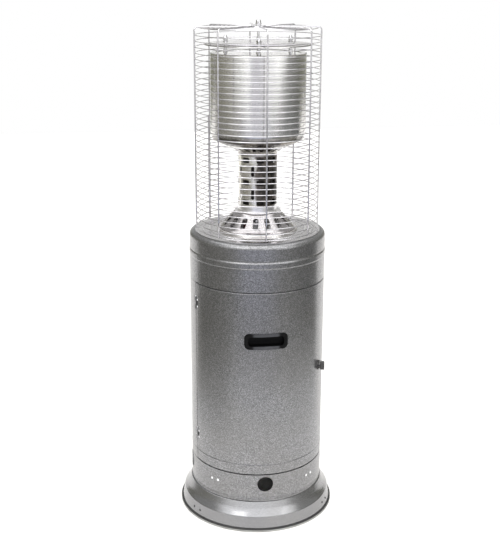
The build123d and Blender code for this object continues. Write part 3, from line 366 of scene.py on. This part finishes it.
MATERIALS = {
    "painted_steel": new_material("hammered_paint", HAMMERED, Metallic=0.86, Coat_Weight=0.25,
                                  Coat_Roughness=0.12),
    "stainless": new_material(
        "stainless", brushed((0.84, 0.83, 0.84), (0.76, 0.75, 0.76), 0.15, 0.25, 0.02), Metallic=1.0),
    "polished": new_material(
        "polished_steel", brushed((0.82, 0.81, 0.79), (0.76, 0.75, 0.73), 0.06, 0.13, 0.01), Metallic=1.0),
    "bright_stainless": new_material(
        "bright_stainless",
        heated((0.82, 0.80, 0.78), (0.72, 0.70, 0.68), HEAT_LOW_Z, HEAT_HIGH_Z, (0.60, 0.54, 0.42)),
        Metallic=1.0),
    "guard_wire": new_material("guard_wire", plated((0.76, 0.75, 0.77), (0.50, 0.49, 0.51)), Metallic=1.0),
    "scorched_steel": new_material(
        "scorched_steel", brushed((0.055, 0.048, 0.042), (0.022, 0.020, 0.019), 0.45, 0.65), Metallic=0.7),
    "fasteners": new_material(
        "plated_fasteners", plated((0.74, 0.74, 0.75), (0.55, 0.55, 0.55)), Metallic=1.0),
    "dark_fasteners": new_material(
        "dark_fasteners", moulded((0.03, 0.03, 0.03), (0.09, 0.09, 0.09), low=0.3), Metallic=0.4),
    "inner_steel": new_material("galvanised", galvanised, Metallic=1.0),
    "hinge_steel": new_material("hinge_paint", HAMMERED, Metallic=0.8),
    "black_plastic": new_material(
        "black_plastic", moulded((0.008, 0.008, 0.009), (0.028, 0.028, 0.031)), Specular_IOR_Level=0.35),
    "rubber": new_material("rubber", moulded((0.020, 0.020, 0.020), (0.05, 0.05, 0.048), 600.0, 0.6, 0.8)),
    "brass": new_material(
        "brass", plated((0.78, 0.60, 0.30), (0.52, 0.38, 0.18), 300.0, 0.18, 0.34), Metallic=1.0),
    "aluminium": new_material(
        "cast_aluminium", plated((0.66, 0.66, 0.66), (0.50, 0.50, 0.50), 500.0, 0.32, 0.5), Metallic=1.0),
    "ceramic": new_material("glazed_ceramic", glazed, Coat_Weight=0.4),
    "lead": new_material("lead_sleeve", moulded((0.30, 0.03, 0.02), (0.36, 0.07, 0.05), 700.0, 0.5, 0.65)),
    "copper": new_material(
        "copper_tube", plated((0.78, 0.45, 0.30), (0.50, 0.27, 0.18), 300.0, 0.2, 0.36), Metallic=1.0),
}

# Pieces whose finish differs from their record slot: their names, then the material.
OWN_FINISH = [
    (("base_edging",), new_material("edging_rubber_gap_shade", edging)),
    (("latch_rose", "latch_nut", "latch_knob"), new_material(
        "dark_chrome", plated((0.085, 0.084, 0.083), (0.045, 0.044, 0.043), low=0.04, high=0.12),
        Metallic=1.0)),
    (("hinge_door_rivets", "hinge_frame_rivets", "hinge_pins", "band_rivets"), new_material(
        "zinc_rivets", plated((0.92, 0.92, 0.93), (0.80, 0.80, 0.81), low=0.35, high=0.5), Metallic=0.35)),
    (("door_handle",), new_material("grip_plastic_recess_shade", grip_plastic_recess_shade, Specular_IOR_Level=0.16)),
    # base_flare: smoother paint, 1.2 times brighter than the body's; the brightening is painted light for the
    # highlight on the cone and skirt.
    (("base_flare",), new_material(
        "smooth_paint_lightened", paint(900.0, 1.8, 0.17, 0.03, 1.2), Metallic=0.86, Coat_Weight=0.4,
        Coat_Roughness=0.06)),
    (("screen_collar",), new_material(
        "collar_steel", brushed((0.94, 0.93, 0.93), (0.88, 0.87, 0.87), 0.26, 0.34, 0.02), Metallic=1.0)),
    (("reflector",), new_material(
        "reflector_steel", brushed((0.62, 0.61, 0.60), (0.54, 0.53, 0.52), 0.08, 0.16, 0.01), Metallic=1.0)),
    (("flame_screen",), new_material("scorched_screen_with_painted_reflection", scorched_screen_with_painted_reflection, Metallic=1.0)),
    (("emitter_drum",), new_material("drum_steel", drum_steel, Metallic=1.0)),
    (("burner_bell",), new_material(
        "bell_steel", brushed((0.60, 0.58, 0.585), (0.50, 0.48, 0.485), 0.10, 0.20, 0.02), Metallic=1.0)),
    (("screen_cone",), new_material(
        "cone_steel", brushed((0.55, 0.53, 0.50), (0.40, 0.385, 0.36), 0.16, 0.26, 0.02), Metallic=1.0)),
    (("drum_lid",), MATERIALS["polished"]),
]

slot_of = {row["node"]: row["material_slot"] for row in frame["record"]["subparts"]}


def give(obj, material):
    """One material on the whole mesh."""
    if not obj.data.materials:
        obj.data.materials.append(material)
    for index in range(len(obj.data.materials)):
        obj.data.materials[index] = material


for node_name, node in nodes.items():
    give(node, MATERIALS[slot_of[node_name]])
for node_names, finish in OWN_FINISH:
    for node_name in node_names:
        give(nodes[node_name], finish)


# ---------------------------------------------------------------- round-wire guard
GUARD_R = 0.1654
ROD_R = 0.1672
RING_WIRE_R = 0.00120
ROD_WIRE_R = 0.0020
RING_FIRST_Z = 0.821
RING_PITCH = 0.015
RING_COUNT = 35
ROD_COUNT = 8
ROD_BEND_R = 0.010
SPOKE_Z = 1.352
CROWN_Z = 1.350
CROWN_FIRST_R = 0.024
CROWN_PITCH = 0.0164
CROWN_COUNT = 9
HUB_R = 0.019
HUB_WIRE_R = 0.0018
WELD_R = 0.0017
WELD_OUT = 0.0005
CROWN_WELD_R = 0.9 * WELD_R
CROWN_WELD_UP = 0.0007
ROD_STEPS = 12
BEND_STEPS = 8


def tube(mesh, points, radius, sides, closed):
    """A round wire along points, which turns with its path."""
    rows = []
    count = len(points)
    for index, point in enumerate(points):
        before = points[index - 1] if index or closed else point
        after = points[(index + 1) % count] if index < count - 1 or closed else point
        ahead = (after - before).normalized()
        side = Vector((0.0, 0.0, 1.0)).cross(ahead)
        if side.length < 0.2:
            side = Vector((-point.y, point.x, 0.0))
        side.normalize()
        up = ahead.cross(side)
        rows.append([mesh.verts.new(point + (side * math.cos(turn) + up * math.sin(turn)) * radius)
                     for turn in turns(sides)])
    for index in range(count if closed else count - 1):
        first, second = rows[index], rows[(index + 1) % count]
        for step in range(sides):
            onward = (step + 1) % sides
            mesh.faces.new((first[step], first[onward], second[onward], second[step]))
    if not closed:
        mesh.faces.new(list(reversed(rows[0])))
        mesh.faces.new(rows[-1])


def outward(turn):
    """Level direction away from the axis. Angle 0 is the front."""
    return Vector((math.sin(turn), -math.cos(turn), 0.0))


def upward(height):
    return Vector((0.0, 0.0, height))


def turns(count):
    """Angles in even steps round the axis."""
    return [2.0 * math.pi * step / count for step in range(count)]


def circle(radius, height, steps):
    """Points round the axis."""
    return [outward(turn) * radius + upward(height) for turn in turns(steps)]


def weld(mesh, place, radius):
    """A small blob where two wires are welded."""
    low = mesh.verts.new(place - upward(radius))
    high = mesh.verts.new(place + upward(radius))
    rings = [[mesh.verts.new(place + Vector((math.cos(turn) * 0.8, math.sin(turn) * 0.8, up)) * radius)
              for turn in turns(6)] for up in (-0.6, 0.6)]
    for step in range(6):
        onward = (step + 1) % 6
        mesh.faces.new((low, rings[0][onward], rings[0][step]))
        mesh.faces.new((rings[0][step], rings[0][onward], rings[1][onward], rings[1][step]))
        mesh.faces.new((rings[1][step], rings[1][onward], high))


def finish_piece(name, mesh, body, slot_name, replaced=()):
    """Makes the object, shades it smooth, gives it its material, attaches it to its body and hides the parts
    it replaces.
    """
    bmesh.ops.recalc_face_normals(mesh, faces=mesh.faces[:])
    data = bpy.data.meshes.new(name)
    mesh.to_mesh(data)
    mesh.free()
    piece = bpy.data.objects.new(name, data)
    bpy.context.scene.collection.objects.link(piece)
    for polygon in data.polygons:
        polygon.use_smooth = True
    give(piece, MATERIALS[slot_name])
    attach(piece, body)
    if replaced:
        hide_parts(*replaced)


def rod_path(angle):
    """Up the side of the guard, over a bend and in to the hub."""
    away = outward(angle)
    low = RING_FIRST_Z - RING_WIRE_R
    bend_r = ROD_R - ROD_BEND_R
    bend_z = SPOKE_Z - ROD_BEND_R
    points = [away * ROD_R + upward(low + (bend_z - low) * step / ROD_STEPS) for step in range(ROD_STEPS + 1)]
    for step in range(1, BEND_STEPS + 1):
        turn = math.pi / 2 * step / BEND_STEPS
        points.append(away * (bend_r + ROD_BEND_R * math.cos(turn))
                      + upward(bend_z + ROD_BEND_R * math.sin(turn)))
    points.append(away * (bend_r * 0.5) + upward(SPOKE_Z))
    points.append(away * HUB_R + upward(SPOKE_Z))
    return points


def add_cage():
    """Level rings up the side, with upright rods welded to them."""
    cage = bmesh.new()
    for ring in range(RING_COUNT):
        height = RING_FIRST_Z + RING_PITCH * ring
        tube(cage, circle(GUARD_R, height, 144), RING_WIRE_R, 8, True)
        for angle in turns(ROD_COUNT):
            weld(cage, outward(angle) * (GUARD_R + WELD_OUT) + upward(height), WELD_R)
    for angle in turns(ROD_COUNT):
        tube(cage, rod_path(angle), ROD_WIRE_R, 10, False)
    finish_piece("guard_cage_wires", cage, "frame", "guard_wire", ("guard_panels",))


def add_crown():
    """Rings on top, welded to the rods' spokes, and the hub ring."""
    crown = bmesh.new()
    for ring in range(CROWN_COUNT):
        radius = CROWN_FIRST_R + CROWN_PITCH * ring
        tube(crown, circle(radius, CROWN_Z, 96), RING_WIRE_R, 8, True)
        for angle in turns(ROD_COUNT):
            weld(crown, outward(angle) * radius + upward(CROWN_Z + CROWN_WELD_UP), CROWN_WELD_R)
    tube(crown, circle(HUB_R, SPOKE_Z, 48), HUB_WIRE_R, 8, True)
    finish_piece("guard_crown_wires", crown, "frame", "guard_wire", ("guard_top",))


add_cage()
add_crown()


# ---------------------------------------------------------------- floor, lights and surroundings
FLOOR_HALF = 7.0
APRON_INNER_R = 0.72
APRON_OUTER_R = 9.0
APRON_RADII = (APRON_INNER_R, 1.6, 3.0, APRON_OUTER_R)
APRON_HALF_ANGLE = 118.0
APRON_STEPS = 60
APRON_Z = 0.001
APRON_EDGE_FADE = 1.1
APRON_LEFT_EXTRA = 0.30
APRON_NEAR_R = 2.2
APRON_FAR_R = 2.9
APRON_DIM_FROM_R = 3.6
APRON_DIM_TO_R = 5.0


def add_stage_piece(name, mesh, material):
    """A mesh that isn't part of the heater."""
    data = bpy.data.meshes.new(name)
    mesh.to_mesh(data)
    mesh.free()
    piece = bpy.data.objects.new(name, data)
    bpy.context.scene.collection.objects.link(piece)
    give(piece, material)
    return piece


def floor_look(tree):
    """Plain pale paper."""
    cloud = tree.noise(tree.place(), 3.0, detail=2.0)
    return {"Base_Color": tree.mix(cloud, (0.88, 0.865, 0.85), (0.92, 0.905, 0.89))}


def add_floor():
    mesh = bmesh.new()
    bmesh.ops.create_grid(mesh, x_segments=8, y_segments=8, size=FLOOR_HALF)
    floor = add_stage_piece("floor", mesh, new_material("floor", floor_look, Roughness=0.9))


def apron_look(tree):
    """Tones of the card: pale at its inner edge, then dark, and paler again far in front."""
    place = tree.place()
    distance = tree.new("ShaderNodeVectorMath", {0: place}, operation="LENGTH").outputs["Value"]
    turn = tree.turn(tree.new("ShaderNodeSeparateXYZ", {"Vector": place}))
    off_centre = tree.math("ABSOLUTE", tree.math("ADD", turn, -CAMERA_AZIMUTH))
    front = tree.span(off_centre, 0.25, 0.75, 1.0, 0.0)
    left = tree.span(turn, -1.1, -0.7, 1.0, 0.0)
    cloud = tree.noise(place, 4.0, detail=2.0)
    begin = tree.math("ADD", distance, tree.math("MULTIPLY", left, APRON_LEFT_EXTRA))
    near = tree.mix(front, (0.074, 0.070, 0.052), (0.058, 0.058, 0.074))
    far_side = tree.mix(left, (0.046, 0.050, 0.054), (0.110, 0.106, 0.092))
    far_front = tree.mix(
        tree.span(distance, APRON_DIM_FROM_R, APRON_DIM_TO_R), (0.56, 0.60, 0.76), (0.34, 0.34, 0.37))
    far = tree.mix(front, far_side, far_front)
    dark = tree.mix(tree.span(distance, APRON_NEAR_R, APRON_FAR_R), near, far)
    edge = tree.span(begin, APRON_INNER_R, APRON_INNER_R + APRON_EDGE_FADE)
    return {"Base_Color": tree.mix(edge, (0.85, 0.85, 0.85), dark),
            "Roughness": tree.span(cloud, 0.0, 1.0, 0.7, 0.9)}


def add_apron():
    """A dark card on the floor in front and at the sides, seen only in reflections."""
    mesh = bmesh.new()
    rows = []
    for step in range(APRON_STEPS + 1):
        turn = CAMERA_TURN - APRON_HALF_ANGLE + 2.0 * APRON_HALF_ANGLE * step / APRON_STEPS
        rows.append([mesh.verts.new(outward(math.radians(turn)) * radius + upward(APRON_Z))
                     for radius in APRON_RADII])
    for first, second in zip(rows, rows[1:]):
        for index in range(len(APRON_RADII) - 1):
            mesh.faces.new((first[index], first[index + 1], second[index + 1], second[index]))
    apron = add_stage_piece("apron", mesh, new_material("apron", apron_look))
    apron.visible_camera = False
    apron.visible_shadow = False
    apron.visible_diffuse = False


def at(degrees):
    """Where a direction, in degrees from the camera's, falls on a ramp that runs all round."""
    return (degrees + CAMERA_TURN + 180.0) / 360.0


BANDS = [
    (0.0, (1.0, 1.0, 1.0)), (at(-166), (0.9, 0.9, 0.88)), (at(-150), (0.24, 0.24, 0.18)),
    (at(-115), (0.22, 0.215, 0.165)), (at(-82), (0.36, 0.35, 0.29)), (at(-66), (0.56, 0.55, 0.50)),
    (at(-46), (0.95, 0.95, 0.93)), (at(-24), (1.5, 1.5, 1.5)), (at(-15), (0.75, 0.74, 0.79)),
    (at(4), (0.73, 0.72, 0.77)), (at(14), (0.95, 0.95, 0.98)), (at(44), (1.6, 1.6, 1.6)),
    (at(60), (0.70, 0.70, 0.69)), (at(80), (0.30, 0.30, 0.28)), (at(114), (0.16, 0.16, 0.13)),
    (at(150), (0.26, 0.26, 0.20)), (at(167), (0.9, 0.9, 0.88)), (1.0, (1.0, 1.0, 1.0)),
]
SOFTBOX = [
    (at(-70), (0.0, 0.0, 0.0)), (at(-50), (1.0, 1.0, 1.0)),
    (at(46), (1.0, 1.0, 1.0)), (at(66), (0.0, 0.0, 0.0)),
]


def add_surroundings():
    """Studio light: low bands all round, a raised softbox in front and a white overhead.

    The bands show in reflections. Where the camera sees past the floor, it sees plain white.
    """
    world = bpy.data.worlds.new("studio")
    bpy.context.scene.world = world
    world.use_nodes = True
    tree = Nodes(world.node_tree)
    direction = tree.new("ShaderNodeTexCoord").outputs["Generated"]
    parts = tree.new("ShaderNodeSeparateXYZ", {"Vector": direction})
    share = tree.math("ADD", tree.math("DIVIDE", tree.turn(parts), 2.0 * math.pi), 0.5)
    rise = parts.outputs["Z"]
    softbox = tree.new("ShaderNodeSeparateColor", {"Color": tree.ramp(share, SOFTBOX)}).outputs["Red"]
    softbox = tree.math("MULTIPLY", softbox, tree.span(rise, 0.22, 0.34))
    upper = tree.mix(softbox, (0.42, 0.42, 0.41), (2.35, 2.35, 2.38))
    walls = tree.mix(tree.span(rise, 0.16, 0.26), tree.ramp(share, BANDS), upper)
    light = tree.mix(tree.span(rise, 0.70, 0.84), walls, (2.5, 2.5, 2.5))
    seen = tree.new("ShaderNodeLightPath").outputs["Is Camera Ray"]
    shown = tree.mix(seen, light, (1.0, 1.0, 1.0))
    background = tree.new("ShaderNodeBackground", {"Color": shown, "Strength": 1.0})
    out = tree.new("ShaderNodeOutputWorld")
    tree.tree.links.new(background.outputs["Background"], out.inputs["Surface"])


LIGHT_TARGET = Vector((0.0, 0.0, 0.7))


def add_light(name, place, size, power):
    """A soft rectangular lamp aimed at the middle of the heater."""
    data = bpy.data.lights.new(name, "AREA")
    data.shape = "RECTANGLE"
    data.size, data.size_y = size
    data.energy = power
    light = bpy.data.objects.new(name, data)
    bpy.context.scene.collection.objects.link(light)
    light.location = place
    light.rotation_euler = (LIGHT_TARGET - Vector(place)).to_track_quat("-Z", "Y").to_euler()
    light.visible_camera = False


add_floor()
add_apron()
add_surroundings()
add_light("key", (-1.6, -2.2, 2.6), (1.2, 1.2), 12.0)
add_light("fill", (2.0, -1.8, 1.8), (1.2, 1.6), 7.0)

bpy.context.scene.view_settings.view_transform = "Standard"
bpy.context.scene.view_settings.look = "None"
